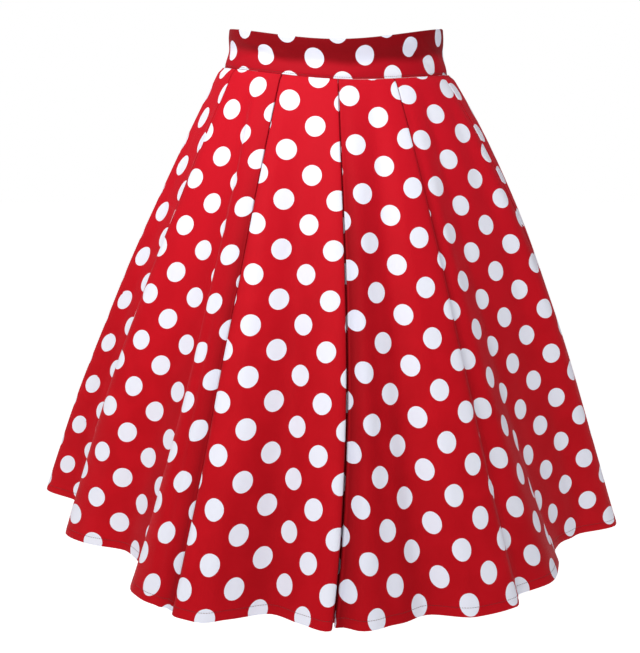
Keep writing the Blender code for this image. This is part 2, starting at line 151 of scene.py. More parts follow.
# Soft shade by the fold edges, pleat by pleat: how wide and how deep it is on the cloth
# to the left of the line and to its right
FOLD_SHADE = {
    "front": [
        (0.006, 0.25, 0.004, 0.30),
        (0.014, 0.80, 0.004, 0.30),
        (0.004, 0.12, 0.018, 0.85),
        (0.008, 0.40, 0.004, 0.30),
        (0.006, 0.30, 0.004, 0.20),
    ],
    "back_right": [(0.007, 0.45, 0.005, 0.30), (0.007, 0.45, 0.005, 0.30)],
    "back_left": [(0.007, 0.45, 0.005, 0.30), (0.007, 0.45, 0.005, 0.30)],
}

# Soft shade in the shallow hollows: azimuth at the seam and at the hem and half width,
# in degrees, and how deep it is at the hem
HOLLOW_SHADE = [
    ("left", -42.0, -48.0, 7.0, 0.35),
    ("middle left", -9.0, -13.0, 8.0, 0.40),
    ("middle right", 12.0, 14.5, 8.0, 0.40),
    ("right", 42.0, 47.0, 9.0, 0.30),
    ("far right", 62.0, 66.0, 9.0, 0.25),
    ("back right", 140.0, 143.0, 9.0, 0.35),
    ("back left", 214.0, 217.0, 9.0, 0.35),
]

# Lie of the printed dots on each panel: for the print's two directions, its place in
# the middle of the panel, its growth across and down, and its lean, bow and spread
PRINT = {
    "front": [
        (0.0975, 0.1146, 0.0371, -0.0091, -0.0027, 0.0013, 0.0429, 0.0042, 0.2862, -0.0036, 0.0100, -0.0022),
        (-0.0301, 0.1125, -0.0175, -0.0038, 0.0021, 0.0020, 0.2804, 0.0061, 0.3054, 0.0021, 0.0051, 0.0012),
        (-0.0195, 0.1270, -0.0115, 0.0084, -0.0036, 0.0005, 0.2902, 0.0026, 0.2980, 0.0020, 0.0065, 0.0001),
        (-0.0352, 0.1320, -0.0036, 0.0080, -0.0082, -0.0006, 0.2718, 0.0084, 0.2972, -0.0045, 0.0066, -0.0007),
        (-0.0023, 0.1137, 0.0258, -0.0005, -0.0049, -0.0010, 0.2836, 0.0064, 0.3106, -0.0020, 0.0064, -0.0005),
        (0.0178, 0.1120, 0.0000, 0.0000, 0.0000, 0.0000, 0.2190, 0.0000, 0.3060, 0.0000, 0.0045, 0.0000),
    ],
    "back_right": [
        (0.0100, 0.1170, 0.0, 0.0, 0.0, 0.0, 0.2850, 0.0, 0.3048, 0.0, 0.0045, 0.0),
        (0.0260, 0.1170, 0.0, 0.0, 0.0, 0.0, 0.2690, 0.0, 0.3048, 0.0, 0.0045, 0.0),
        (0.0030, 0.1170, 0.0, 0.0, 0.0, 0.0, 0.2910, 0.0, 0.3048, 0.0, 0.0045, 0.0),
    ],
    "back_left": [
        (0.0190, 0.1170, 0.0, 0.0, 0.0, 0.0, 0.2780, 0.0, 0.3048, 0.0, 0.0045, 0.0),
        (0.0330, 0.1170, 0.0, 0.0, 0.0, 0.0, 0.2640, 0.0, 0.3048, 0.0, 0.0045, 0.0),
        (0.0030, 0.1220, -0.0100, 0.0, 0.0, 0.0, 0.0430, 0.0, 0.2940, 0.0, 0.0045, 0.0),
    ],
}


def seam_height(phi):
    """Waist seam: a level plus the first and second waves of azimuth, lowest in front."""
    return -0.0245 - 0.0045 * np.cos(phi) - 0.0045 * np.sin(phi) - 0.0045 * np.cos(2 * phi)


def hem_height(phi):
    """Hem: a level, lifted in a bell round the far left and a little at the back."""
    left = np.exp(-(((phi % TAU) - np.radians(252)) / np.radians(20)) ** 2)
    return -FRONT_DROP + 0.033 * left + 0.008 * (0.5 - 0.5 * np.cos(phi))


def oval(phi, wide, deep):
    """Radius of an oval at an azimuth: one over the root of (sin/wide)^2 + (cos/deep)^2."""
    return 1 / np.sqrt((np.sin(phi) / wide) ** 2 + (np.cos(phi) / deep) ** 2)


def along(seam, half, hem, s):
    """Parabola through the values at the seam (s=0), half-way and the hem (s=1)."""
    return seam * (1 - s) * (1 - 2 * s) + 4 * half * s * (1 - s) + hem * s * (2 * s - 1)


def round_curve(x, y, at):
    """Closed cubic through y at azimuths x, its slopes the harmonic means of the rises
    on both sides, or flat at a crest, so that it never overshoots."""
    count = len(x)
    xe = np.concatenate([x - TAU, x, x + TAU])
    ye = np.tile(y, 3)
    step = np.diff(xe)
    rise = np.diff(ye) / step
    slope = np.zeros(3 * count)
    same = rise[:-1] * rise[1:] > 0
    before = 2 * step[1:] + step[:-1]
    after = step[1:] + 2 * step[:-1]
    low = np.where(same, rise[:-1], 1)
    high = np.where(same, rise[1:], 1)
    slope[1:-1] = np.where(same, (before + after) / (before / low + after / high), 0)
    at = (at - x[0]) % TAU + x[0]
    k = np.clip(np.searchsorted(xe, at, side="right") - 1, 0, len(xe) - 2)
    t = (at - xe[k]) / step[k]
    start = ye[k] * (1 + 2 * t) * (1 - t) ** 2
    stop = ye[k + 1] * t * t * (3 - 2 * t)
    return start + stop + step[k] * (slope[k] * t * (1 - t) ** 2 - slope[k + 1] * t * t * (1 - t))


def wave(s, phi):
    """Height of the standing folds over the mean radius: RING's rows, growing evenly with s."""
    places = np.radians([along(row[1], row[2], row[3], s) for row in RING])
    return round_curve(places, np.array([row[4] - MEAN_HEM for row in RING]) * s, phi)


def cloth_radius(s, phi):
    """Radius of the outer cloth at level s: from the oval seat to the mean hem, early
    over the hips, plus the wave."""
    early = HIP_FRONT + (HIP_SIDE - HIP_FRONT) * np.sin(phi) ** 2
    right, left = np.clip(np.sin(phi), 0, 1) ** 2, np.clip(-np.sin(phi), 0, 1) ** 2
    flare = s + s * (1 - s) * (early + HIP_RIGHT * right * (1 - s) + HIP_LEFT * left * s)
    seat = oval(phi, SEAT_WIDE, SEAT_DEEP)
    return seat + (MEAN_HEM - seat) * flare + wave(s, phi)


def smooth(x, low, high):
    """0 below low, 1 above high, and 3t^2 - 2t^3 between."""
    t = np.clip((x - low) / (high - low), 0, 1)
    return t * t * (3 - 2 * t)


def unevenness(s, phi):
    """How far the cloth stands out at level s: each crease is a bell across its line,
    faded at its ends, and two slow ripples keep the cloth from lying dead flat."""
    radius = 0.125 + 0.235 * s
    out = np.zeros_like(phi)
    for name, start, high, stop, low, width, depth in CREASES:
        t = (s - high) / (low - high)
        centre = np.radians(start + (stop - start) * t)
        apart = ((phi - centre + np.pi) % TAU - np.pi) * radius
        fade = smooth(t, -0.15, 0.3) * (1 if low > 0.98 else 1 - smooth(t, 0.7, 1.15))
        out += depth * fade * np.exp(-((apart / width) ** 2))
    ripple = np.sin(23 * phi + 5.1 * s + 1.3) * np.sin(9.0 * s + 3 * phi)
    slow = np.sin(14 * phi - 7.0 * s) * np.sin(13 * s + 0.7)
    return out + (0.0005 * ripple + 0.0006 * slow) * smooth(s, 0.03, 0.4)


class Level:
    """Plan section of the outer cloth at level s, read by its length from the back."""

    def __init__(self, s, count=4320):
        self.s = s
        self.phi = np.linspace(-np.pi, np.pi, count + 1)
        radius = cloth_radius(s, self.phi)
        self.plan = np.stack([radius * np.sin(self.phi), -radius * np.cos(self.phi)], -1)
        chords = np.diff(self.plan, axis=0)
        self.length = np.concatenate([[0], np.cumsum(np.hypot(*chords.T))])
        self.total = self.length[-1]
        run = chords + np.roll(chords, 1, axis=0)
        out = np.stack([run[:, 1], -run[:, 0]], -1)
        out = np.concatenate([out, out[:1]])
        reach = int(round((0.002 + 0.007 * s) / (self.total / count)))
        blur = np.ones(2 * reach + 1) / (2 * reach + 1)
        for _ in range(2):
            long = np.concatenate([out[-reach - 1:-1], out, out[1:reach + 1]])
            out = np.stack([np.convolve(long[:, i], blur, "valid") for i in (0, 1)], -1)
        self.out = out / np.linalg.norm(out, axis=1)[:, None]

    def place(self, phi):
        """Length along the section at azimuth phi, which may run past the centre back."""
        turns = np.floor((phi + np.pi) / TAU)
        return np.interp(phi - turns * TAU, self.phi, self.length) + turns * self.total

    def point(self, length, lift):
        """Plan points at a length along the cloth, moved out by lift, and their azimuth."""
        length = length % self.total
        phi = np.interp(length, self.length, self.phi)
        lift = lift + unevenness(self.s, phi)
        x, y = [
            np.interp(length, self.length, self.plan[:, i]) + lift * np.interp(length, self.length, self.out[:, i])
            for i in (0, 1)
        ]
        return x, y, phi


def box_pleat(s, under, turn_steps=6, back_steps=5):
    """Section of an inverted box pleat: half circles at the fold edge and at the fold
    behind it, straight runs between them, and the mirror image of both."""
    layer = PLEAT_LAYER + (PLEAT_LAYER_HEM - PLEAT_LAYER) * s ** 1.1
    mouth = PLEAT_MOUTH + (PLEAT_MOUTH_HEM - PLEAT_MOUTH) * s
    t = np.linspace(0, np.pi, turn_steps + 1)
    edge_x = -mouth - layer / 2 + layer / 2 * np.sin(t)
    edge_y = -layer / 2 + layer / 2 * np.cos(t)
    fold_x = -under - layer / 2 * np.sin(t)
    fold_y = -1.5 * layer + layer / 2 * np.cos(t)
    run = np.linspace(edge_x[-1], -under, back_steps + 1)[1:-1]
    half_x = np.concatenate([edge_x, run, fold_x])
    half_y = np.concatenate([edge_y, np.full(back_steps - 1, -layer), fold_y])
    middle = np.linspace(-under, under, 2 * back_steps - 1)[1:-1]
    x = np.concatenate([half_x, middle, -half_x[::-1]])
    y = np.concatenate([half_y, np.full(len(middle), -2 * layer), half_y[::-1]])
    return x, y


def cloth_section(s, start, stop):
    """Middle line of one piece at level s between two seams, and its columns' panels."""
    level = Level(s)
    here = level.place(np.radians(start)) + SIDE_GAP / 2
    end = level.place(np.radians(stop)) - SIDE_GAP / 2
    lengths, lifts, panels = [], [], []
    panel = 0
    for turn in (0, 360):
        for name, seam, half, hem, under, under_hem in PLEATS:
            if not start < seam + turn < stop:
                continue
            centre = level.place(np.radians(along(seam, half, hem, s) + turn))
            x, y = box_pleat(s, under + (under_hem - under) * s)
            lengths += [np.linspace(here, centre + x[0], PANEL_STEPS + 1)[:-1], (centre + x)[:-1]]
            lifts += [np.zeros(PANEL_STEPS), y[:-1]]
            split = len(x) // 2
            panels += [panel] * (PANEL_STEPS + split) + [panel + 1] * (len(x) - 1 - split)
            panel += 1
            here = centre + x[-1]
    lengths.append(np.linspace(here, end, PANEL_STEPS + 1))
    lifts.append(np.zeros(PANEL_STEPS + 1))
    panels += [panel] * (PANEL_STEPS + 1)
    drop = (hem_height(0.0) - seam_height(0.0)) * s
    roll = SEAM_ROLL * (1 - smooth(-drop, 0, 0.007))
    x, y, phi = level.point(np.concatenate(lengths), np.concatenate(lifts) - roll)
    z = seam_height(phi) + (hem_height(phi) - seam_height(phi)) * s
    return np.stack([x, y, z], -1), np.array(panels)


def cloth_rows():
    """Levels of the grid's rows: close at the seam and at the hem's turn and stitching."""
    drop = abs(hem_height(0.0) - seam_height(0.0))
    top = np.array([0, 0.0012, 0.0025, 0.004, 0.006, 0.009]) / drop
    low = [0.0125, 0.0102, 0.0095, 0.0091, 0.0086, 0.0081, 0.0070, 0.0045, 0.002, 0.0008, 0.0003, 0]
    low = np.array(low) / drop
    return np.concatenate([top, np.linspace(0.015 / drop, 1 - 0.020 / drop, 64), 1 - low])


def thick_line(line, outer, inner):
    """Lines at a distance outside and inside a level line, mitred at its corners."""
    run = np.diff(line[:, :2], axis=0)
    run /= np.linalg.norm(run, axis=1)[:, None]
    before = np.concatenate([run[:1], run])
    after = np.concatenate([run, run[-1:]])
    mean = before + after
    mean /= np.linalg.norm(mean, axis=1)[:, None]
    out = np.stack([mean[:, 1], -mean[:, 0]], -1)
    mitre = np.minimum(1 / np.maximum((mean * after).sum(1), 0.2), 1.35)[:, None]
    shift = np.zeros_like(line)
    shift[:, :2] = out * mitre
    return line + shift * outer, line - shift * inner


def printed_place(across, down, row):
    """Place in the print of a point on a panel: a polynomial of second order in its
    distance across from the panel's middle and down from the seam."""
    u, v = across / 0.12, (down - 0.3) / 0.3
    terms = [np.ones_like(u), u, v, u * v, v * v, u * u]
    return (
        sum(k * term for k, term in zip(row[:6], terms)),
        sum(k * term for k, term in zip(row[6:], terms)),
    )


def shell_faces(rows, columns):
    """Quads of a closed wall between two grids: outside, inside and the four rims."""
    at = np.arange(rows * columns).reshape(rows, columns)
    back = at + rows * columns
    sides = [
        (at[:-1, :-1], at[1:, :-1], at[1:, 1:], at[:-1, 1:]),
        (back[:-1, :-1], back[:-1, 1:], back[1:, 1:], back[1:, :-1]),
        (at[0, :-1], at[0, 1:], back[0, 1:], back[0, :-1]),
        (at[-1, :-1], back[-1, :-1], back[-1, 1:], at[-1, 1:]),
        (at[:-1, 0], back[:-1, 0], back[1:, 0], at[1:, 0]),
        (at[:-1, -1], at[1:, -1], back[1:, -1], back[:-1, -1]),
    ]
    return np.concatenate([np.stack([corner.ravel() for corner in side], -1) for side in sides])


def add_piece(name, verts, faces, mat, body="garment"):
    """Smooth named piece from whole arrays, riding on a body."""
    mesh = bpy.data.meshes.new(name)
    mesh.from_pydata(np.asarray(verts).reshape(-1, 3).tolist(), [], np.asarray(faces).tolist())
    mesh.materials.append(mat)
    mesh.polygons.foreach_set("use_smooth", np.ones(len(mesh.polygons), bool))
    mesh.update()
    mesh.set_sharp_from_angle(angle=1.0)
    obj = bpy.data.objects.new(name, mesh)
    bpy.context.scene.collection.objects.link(obj)
    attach(obj, body)
    return obj


def add_print(obj, columns, panels, place):
    """UV map of the piece's own print: place(panel) gives the two grids of one panel, and
    a face takes the panel of its left column, so that the print may start anew there."""
    mesh = obj.data
    corners = np.empty(len(mesh.loops), int)
    mesh.loops.foreach_get("vertex_index", corners)
    corners = corners.reshape(-1, 4)
    grid_size = len(mesh.vertices) // 2
    spot = corners % grid_size
    column = spot % columns
    owner = panels[column.min(axis=1)]
    uv = np.zeros(corners.shape + (2,))
    for panel in np.unique(owner):
        mine = owner == panel
        x, y = place(panel)
        uv[mine, :, 0] = x.ravel()[spot[mine]]
        uv[mine, :, 1] = y.ravel()[spot[mine]]
    layer = mesh.uv_layers.new(name="print")
    layer.data.foreach_set("uv", uv.ravel())
    wrong_side = mesh.attributes.new("wrong_side", "FLOAT", "POINT")
    wrong_side.data.foreach_set("value", np.repeat([0.0, 1.0], grid_size))


def add_shade(obj, shade):
    """Point attribute of the soft shade on the outside of a piece, from 0 to 1."""
    values = obj.data.attributes.new("shade", "FLOAT", "POINT")
    values.data.foreach_set("value", np.concatenate([shade.ravel(), np.zeros(shade.size)]))


def fold_shade(rows, run, first_columns, widths):
    """Shade of one piece: beside each fold edge it dies away with the distance along the
    cloth, exp(-distance / width), and it deepens down from the seam."""
    shade = np.zeros(run.shape)
    for k, (left, deep_left, right, deep_right) in enumerate(widths):
        edge, next_edge = first_columns[k] + PANEL_STEPS, first_columns[k + 1]
        before, after = slice(first_columns[k], edge + 1), slice(next_edge, next_edge + PANEL_STEPS + 1)
        shade[:, before] += deep_left * np.exp(-(run[:, edge:edge + 1] - run[:, before]) / left)
        shade[:, after] += deep_right * np.exp(-(run[:, after] - run[:, next_edge:next_edge + 1]) / right)
        shade[:, edge + 1:next_edge] = 0.6
    return shade * (0.25 + 0.75 * smooth(rows, 0.08, 0.38))[:, None]


def hollow_shade(rows, phi):
    """Sum over HOLLOW_SHADE of amount * s * exp(-((phi - centre) / width)^2)."""
    shade = np.zeros(phi.shape)
    for _, at_seam, at_hem, width, amount in HOLLOW_SHADE:
        centre = np.radians(at_seam + (at_hem - at_seam) * rows)[:, None]
        away = (phi - centre + np.pi) % TAU - np.pi
        shade += amount * rows[:, None] * np.exp(-((away / np.radians(width)) ** 2))
    return shade


class Amount:
    """A number that changes over the surface: sums, products and so on of two of them,
    or of one and a plain number, add their Math node."""

    def __init__(self, recipe, socket):
        self.recipe, self.socket = recipe, socket

    def _math(self, operation, *values):
        node = self.recipe.node("ShaderNodeMath", {"operation": operation}, dict(enumerate(values)))
        return Amount(self.recipe, node.outputs[0])

    def __add__(self, other):
        return self._math("ADD", self, other)

    def __sub__(self, other):
        return self._math("SUBTRACT", self, other)

    def __mul__(self, other):
        return self._math("MULTIPLY", self, other)

    def __truediv__(self, other):
        return self._math("DIVIDE", self, other)

    def __pow__(self, other):
        return self._math("POWER", self, other)

    __radd__ = __add__

    def least(self, other):
        """The smaller of the two."""
        return self._math("MINIMUM", self, other)

    def called(self, operation):
        """A Math node of one input, such as SINE or ROUND."""
        return self._math(operation, self)

    def step(self, low, high):
        """0 below low, 1 above high and smooth between; high may be the lower one."""
        node = self.recipe.node(
            "ShaderNodeMapRange",
            {"interpolation_type": "SMOOTHSTEP"},
            {"Value": self, "From Min": low, "From Max": high},
        )
        return Amount(self.recipe, node.outputs["Result"])


class Recipe:
    """The nodes of one material."""

    def __init__(self, name):
        self.material = bpy.data.materials.new(name)
        self.material.use_nodes = True
        self.tree = self.material.node_tree
        self.tree.nodes.clear()

    def node(self, kind, settings=None, sockets=None):
        """Node of a kind: its settings are set first, then its sockets' values or links."""
        node = self.tree.nodes.new(kind)
        for name, value in (settings or {}).items():
            setattr(node, name, value)
        for key, value in (sockets or {}).items():
            if isinstance(value, Amount):
                value = value.socket
            if isinstance(value, bpy.types.NodeSocket):
                self.tree.links.new(value, node.inputs[key])
            else:
                node.inputs[key].default_value = value
        return node

    def split(self, vector):
        """The three parts of a vector as amounts."""
        node = self.node("ShaderNodeSeparateXYZ", {}, {0: vector})
        return [Amount(self, out) for out in node.outputs]

    def attribute(self, name):
        """A point attribute of the mesh."""
        return Amount(self, self.node("ShaderNodeAttribute", {"attribute_name": name}).outputs["Fac"])

    def noise(self, vector, scale, detail=2.0):
        """Cloudy pattern between 0 and 1 on a vector."""
        settings = {"noise_dimensions": "3D"}
        node = self.node("ShaderNodeTexNoise", settings, {"Vector": vector, "Scale": scale, "Detail": detail})
        return Amount(self, node.outputs["Fac"])

    def mix(self, amount, first, second):
        """Colour between two others."""
        node = self.node("ShaderNodeMix", {"data_type": "RGBA"}, {0: amount, 6: first, 7: second})
        return node.outputs[2]

    def bump(self, height, distance, strength):
        """Normal from a height."""
        node = self.node("ShaderNodeBump", {}, {"Height": height, "Distance": distance, "Strength": strength})
        return node.outputs[0]

    def finish(self, **values):
        """Principled surface with these sockets, as the material's output."""
        names = {key.replace("_", " "): value for key, value in values.items()}
        surface = self.node("ShaderNodeBsdfPrincipled", {}, names)
        self.node("ShaderNodeOutputMaterial", {}, {"Surface": surface.outputs[0]})
        return self.material


DOT_RADIUS = 0.0122
DOTS_ACROSS, DOTS_DOWN = 0.0648, 0.0579     # repeat of the staggered rows
THREAD = 0.00042
RED = (0.540, 0.0048, 0.0119, 1)
RED_LOW = (0.490, 0.0038, 0.0099, 1)
# The next tone is painted light: the red brightened towards the waist, where the light from above falls strongest
RED_LIT_TOP = (0.575, 0.0068, 0.0180, 1)
RED_SHADE = (0.235, 0.0020, 0.0050, 1)
RED_REVERSE = (0.470, 0.028, 0.042, 1)
DOT_WHITE = (0.830, 0.845, 0.935, 1)
DOT_SHADE = (0.690, 0.710, 0.830, 1)
DOT_REVERSE = (0.640, 0.300, 0.320, 1)


def dotted_cotton(name, depth=1.0):
    """Cotton sateen with staggered round dots: white where the distance to the nearest
    centre of either of the two square lattices is less than the dot's radius."""
    recipe = Recipe(name)
    place = recipe.node("ShaderNodeUVMap", {"uv_map": "print"}).outputs[0]
    across, down, _ = recipe.split(place)
    body = recipe.node("ShaderNodeTexCoord").outputs["Object"]

    def nearest(shift):
        a = across / DOTS_ACROSS + shift
        b = down / DOTS_DOWN + shift
        a = (a - a.called("ROUND")) * DOTS_ACROSS
        b = (b - b.called("ROUND")) * DOTS_DOWN
        return (a * a + b * b) ** 0.5

    edge = recipe.noise(body, 900.0, 1.0) * 0.0003
    apart = nearest(0.0).least(nearest(0.5)) + edge
    dot = apart.step(DOT_RADIUS + 0.00035, DOT_RADIUS)
    wrong = recipe.attribute("wrong_side")
    cloudy = recipe.noise(body, 28.0, 3.0)
    warp = (across * (TAU / THREAD)).called("SINE")
    weft = (down * (TAU / THREAD)).called("SINE")
    drawn = recipe.node("ShaderNodeMapping", {}, {"Vector": place, "Scale": (2200, 160, 1)}).outputs[0]
    slub = recipe.noise(drawn, 1.0)
    # Painted shade: the point attribute 'shade' darkens the red towards RED_SHADE and the dots towards DOT_SHADE,
    # beside the pleats' fold edges, inside the pleats, in the hollows and on the band's upper part
    fold = recipe.attribute("shade")
    low, high, lit_top, dark, reverse = [
        tuple(depth * part for part in tone[:3]) + (1,)
        for tone in (RED_LOW, RED, RED_LIT_TOP, RED_SHADE, RED_REVERSE)
    ]
    # Painted light: the red brightens towards the waist over the upper 0.45 m
    near_waist = recipe.split(body)[2].step(-0.45, 0.0)
    red = recipe.mix(cloudy.step(0.35, 0.7), low, high)
    red = recipe.mix(near_waist, red, lit_top)
    red = recipe.mix(wrong, recipe.mix(fold, red, dark), reverse)
    white = recipe.mix(wrong, recipe.mix(fold, DOT_WHITE, DOT_SHADE), DOT_REVERSE)
    colour = recipe.mix(dot, red, white)
    weave = warp * weft * 0.35 + slub * 0.8 + cloudy * 0.6
    return recipe.finish(
        Base_Color=colour,
        Roughness=0.50 + cloudy * 0.12 + dot * 0.04,
        Normal=recipe.bump(weave, 0.00010, 0.6),
        Specular_IOR_Level=0.05,
        Sheen_Weight=0.10,
        Sheen_Roughness=0.40,
        Sheen_Tint=(1.0, 0.30, 0.35, 1),
    )


def skirt_cloth(key, start, stop, mat):
    """One gored piece: its grid of middle points made into a thin shell, with the cloth's
    print laid on each panel and the turned hem standing a little proud."""
    rows = cloth_rows()
    sections = [cloth_section(s, start, stop) for s in rows]
    panels = sections[0][1]
    middle = np.array([section[0] for section in sections])
    drop = abs(hem_height(0.0) - seam_height(0.0))
    above_hem = (1 - rows) * drop
    half = np.full(len(rows), CLOTH_WALL / 2)
    half *= 0.35 + 0.65 * smooth(above_hem, -0.0002, 0.0009)
    half *= 0.5 + 0.5 * smooth(rows * drop, 0.0, 0.002)
    turn = 1 - smooth(above_hem, HEM_TURN - 0.0004, HEM_TURN + 0.0004)
    pinch = np.exp(-(((above_hem - STITCH_ABOVE_HEM) / 0.0006) ** 2))
    outer_by = half + 0.00018 * turn - 0.00032 * pinch
    inner_by = half + 0.00035 * turn * smooth(above_hem, 0, 0.001) - 0.0002 * pinch
    walls = [thick_line(line, o, i) for line, o, i in zip(middle, outer_by, inner_by)]
    outer = np.array([wall[0] for wall in walls])
    inner = np.array([wall[1] for wall in walls])
    faces = shell_faces(*middle.shape[:2])
    obj = add_piece(f"skirt_{key}_cloth", np.concatenate([outer, inner]), faces, mat)
    steps = np.linalg.norm(np.diff(middle, axis=1), axis=2)
    run = np.concatenate([np.zeros((len(rows), 1)), np.cumsum(steps, axis=1)], axis=1)

    spans = [np.where(panels == panel)[0] for panel in range(panels.max() + 1)]
    firsts = [span[0] + (len(span) - PANEL_STEPS) // 2 for span in spans]
    firsts[0], firsts[-1] = spans[0][0], spans[-1][-1] - PANEL_STEPS

    def place(panel):
        centre = firsts[panel] + PANEL_STEPS // 2
        down = np.concatenate([[0], np.cumsum(np.linalg.norm(np.diff(middle[:, centre], axis=0), axis=1))])
        across = run - run[:, centre:centre + 1]
        return printed_place(across, np.repeat(down[:, None], middle.shape[1], 1), PRINT[key][panel])

    add_print(obj, middle.shape[1], panels, place)
    hollows = hollow_shade(rows, np.arctan2(middle[..., 0], -middle[..., 1]))
    add_shade(obj, np.minimum(fold_shade(rows, run, firsts, FOLD_SHADE[key]) + hollows, 1))
    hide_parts(f"skirt_{key}")
    return obj, outer


cotton = dotted_cotton("dotted_cotton")
front, front_outer = skirt_cloth("front", SIDE_SEAM_LEFT, SIDE_SEAM_RIGHT, cotton)


# Skirt backs
# Two gores of the same cotton with two inverted box pleats each, sewn to the front at the
# side seams and to each other down the centre back, where the zip opens the top.
back_right, right_outer = skirt_cloth("back_right", SIDE_SEAM_RIGHT, 180.0, cotton)
back_left, left_outer = skirt_cloth("back_left", 180.0, 360.0 + SIDE_SEAM_LEFT, cotton)


# Waistband
# A straight stiffened strip of the same cotton, doubled over at its top edge and sewn to
# the pleated cloth; it is cut in three, joined at the sides and open over the zip behind.
BAND_LOW_WIDE, BAND_LOW_DEEP = 0.1395, 0.1095
BAND_TOP_WIDE, BAND_TOP_DEEP = 0.1328, 0.1060
BAND_WALL = 0.0018
BAND_ROUND, BAND_HIGH = 0.125, 0.048        # mean radius and height, to size the wrinkles

# Soft wrinkles in the band: azimuth and height (0 top, 1 seam) at both ends, width, lift
BAND_WRINKLES = [
    ("left fan low", -68.0, 0.75, -40.0, 0.35, 0.0050, -0.0013),
    ("left fan high", -62.0, 0.30, -30.0, 0.55, 0.0055, 0.0013),
    ("centre hollow", -14.0, 0.30, 30.0, 0.42, 0.0080, -0.0012),
    ("centre roll", -24.0, 0.88, 25.0, 0.80, 0.0050, 0.0009),
    ("right drag", 46.0, 0.35, 66.0, 0.85, 0.0045, -0.0015),
    ("right roll", 56.0, 0.25, 74.0, 0.70, 0.0045, 0.0013),
    ("right top", 30.0, 0.30, 60.0, 0.12, 0.0050, 0.0009),
    ("back right drag", 112.0, 0.35, 128.0, 0.80, 0.0055, -0.0013),
    ("back left drag", 246.0, 0.35, 230.0, 0.75, 0.0055, -0.0013),
    ("back roll", 160.0, 0.60, 176.0, 0.50, 0.0060, 0.0009),
]
BAND_PRINT = (-0.0067, 0.1254, 0.0038, 0.0033, -0.0544, -0.0103, 0.0311, -0.0059)


def band_top_height(phi):
    """Top edge of the band: a level less the first and second waves of azimuth."""
    return 0.0245 - 0.0046 * np.cos(phi) - 0.0072 * np.cos(2 * phi)


def band_radius(phi, t):
    """Straight line from the top oval (t=0) to the oval at the seam (t=1)."""
    top = oval(phi, BAND_TOP_WIDE, BAND_TOP_DEEP)
    return top + (oval(phi, BAND_LOW_WIDE, BAND_LOW_DEEP) - top) * t


def band_lift(phi, t):
    """Lift of the band: a hollow all round where it creases between waist and hip, and
    a bell across each wrinkle, faded at its ends. The zip holds the centre back flat."""
    lift = -0.0030 * np.exp(-(((t - 0.57) / 0.26) ** 2)) * np.ones_like(phi)
    for name, start, high, stop, low, width, depth in BAND_WRINKLES:
        a = ((phi - np.radians(start) + np.pi) % TAU - np.pi) * BAND_ROUND
        b = (t - high) * BAND_HIGH
        run = np.array([np.radians(stop - start) * BAND_ROUND, (low - high) * BAND_HIGH])
        size = np.hypot(*run)
        run = run / size
        k = (a * run[0] + b * run[1]) / size
        aside = b * run[0] - a * run[1]
        fade = smooth(k, -0.25, 0.25) * (1 - smooth(k, 0.75, 1.25))
        lift += depth * fade * np.exp(-((aside / width) ** 2))
    return lift * smooth(np.abs(phi % TAU - np.pi), np.radians(8), np.radians(18))


def waistband(key, start, stop, columns, mat):
    """One length of the band: a wall of BAND_WALL on the band's ovals, rounded over at
    its top edge, with the line of stitching above the seam pressed in."""
    phi = np.radians(np.linspace(start, stop, columns + 1))
    phi[0] += SEAM_GAP / 2 / 0.105
    phi[-1] -= SEAM_GAP / 2 / 0.105
    by_seam = [0.93, 0.945, 0.96, 0.975, 0.99, 1.0]
    t = np.concatenate([[0, 0.006, 0.015, 0.03], np.linspace(0.06, 0.90, 20), by_seam])
    outer, inner, height = [], [], []
    for level in t:
        low = seam_height(phi) + SEAM_GAP
        z = band_top_height(phi) + (low - band_top_height(phi)) * level
        radius = band_radius(phi, level) + band_lift(phi, level) * smooth(level, -0.05, 0.12)
        line = np.stack([radius * np.sin(phi), -radius * np.cos(phi), z], -1)
        edge = 0.30 + 0.70 * smooth(level, -0.004, 0.03)
        pinch = 0.00035 * np.exp(-(((level - 0.96) / 0.014) ** 2))
        pair = thick_line(line, BAND_WALL / 2 * edge - pinch, BAND_WALL / 2 * edge)
        outer.append(pair[0])
        inner.append(pair[1])
        height.append(z - seam_height(phi))
    outer, inner = np.array(outer), np.array(inner)
    faces = shell_faces(len(t), columns + 1)
    obj = add_piece(f"waistband_{key}_cloth", np.concatenate([outer, inner]), faces, mat)
    fine = np.radians(np.linspace(-180, 360, 5401))
    ring = band_radius(fine, 0.5)
    run = np.concatenate([[0], np.cumsum(np.hypot(np.diff(ring * np.sin(fine)), np.diff(ring * np.cos(fine))))])
    u = (np.interp(phi, fine, run) - np.interp(0, fine, run)) / 0.12
    v = np.array(height) / 0.03
    u = np.repeat(u[None], len(t), 0)
    bow = np.where(abs(u) < 1.35, u * u, 1.35 * (2 * abs(u) - 1.35))
    a, b, c, d, e, f, g, h = BAND_PRINT
    grids = (a + b * u + c * v + d * bow, e + f * np.clip(u, -1.5, 1.5) + g * v + h * np.minimum(bow, 2.0))
    add_print(obj, columns + 1, np.zeros(columns + 1, int), lambda panel: grids)
    left = 1 - smooth(phi, -1.3, -0.6)
    rise = 0.60 - 0.14 * left + 0.03 * np.sin(9 * phi)
    shade = [(0.84 - 0.12 * left) * (1 - smooth(level, rise - 0.12, rise + 0.11)) for level in t]
    add_shade(obj, np.array(shade))
    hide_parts(f"waistband_{key}")
    return obj, outer


band_cotton = dotted_cotton("band_cotton", 0.76)
band_front, band_front_outer = waistband("front", SIDE_SEAM_LEFT, SIDE_SEAM_RIGHT, 240, band_cotton)
band_right, band_right_outer = waistband("back_right", SIDE_SEAM_RIGHT, 180.0, 124, band_cotton)
band_left, band_left_outer = waistband("back_left", 180.0, 360.0 + SIDE_SEAM_LEFT, 124, band_cotton)


# Stitching
# Red sewing cotton: a line holds the turned-up hem, and another runs on the band just
# above the waist seam, where it catches the inside half of the band.
STITCH_LONG, STITCH_PITCH, STITCH_RADIUS = 0.0023, 0.0028, 0.00026


